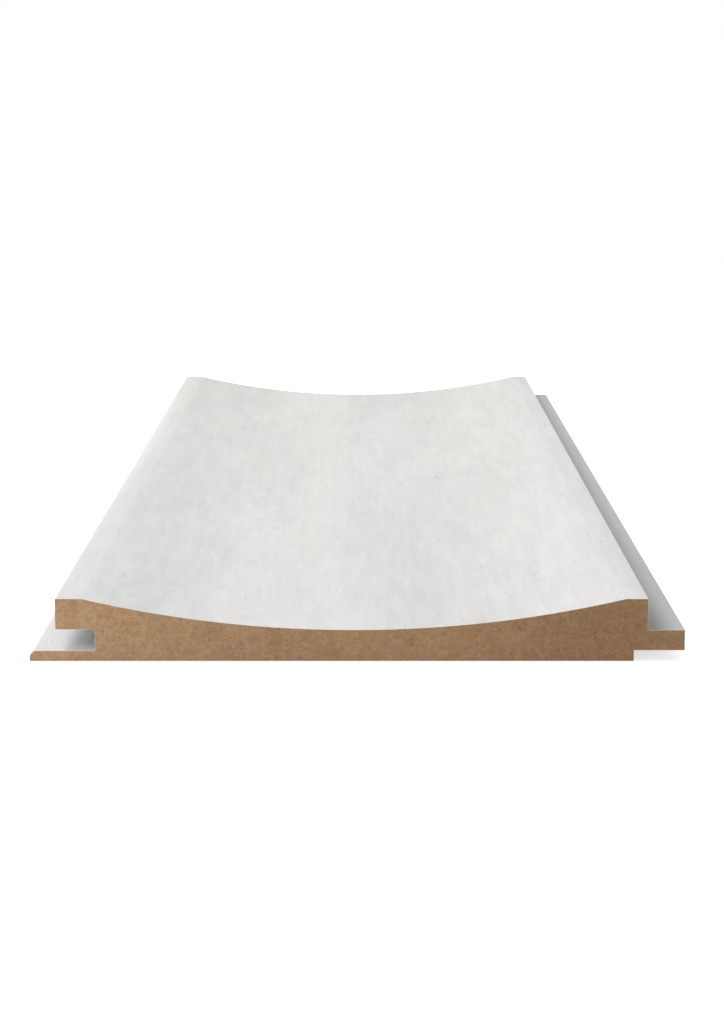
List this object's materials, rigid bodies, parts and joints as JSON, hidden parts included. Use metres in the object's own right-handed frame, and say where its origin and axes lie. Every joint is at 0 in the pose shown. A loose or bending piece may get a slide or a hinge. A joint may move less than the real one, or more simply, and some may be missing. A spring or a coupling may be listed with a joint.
{
  "type": "concave tongue and groove fibreboard wall panel",
  "caption": "Short length of moulded fibreboard wall panel with a hollow white face, a tongue on one long edge and a groove with a longer lower lip on the other.",
  "frame": {"origin": "on the flat back face, at the middle of the overall width (tongue and lower lip included) and of the length", "axes": "+X across the board towards the tongue, +Y along the board, +Z out of the hollow room face; the board lies on its back"},
  "size_m": [0.166, 0.5, 0.016],
  "materials": {
    "primed_fibreboard": "matte",
    "raw_fibreboard": "matte"
  },
  "bodies": {
    "root": {"wall_panel": "primed_fibreboard"}
  },
  "joints": []
}
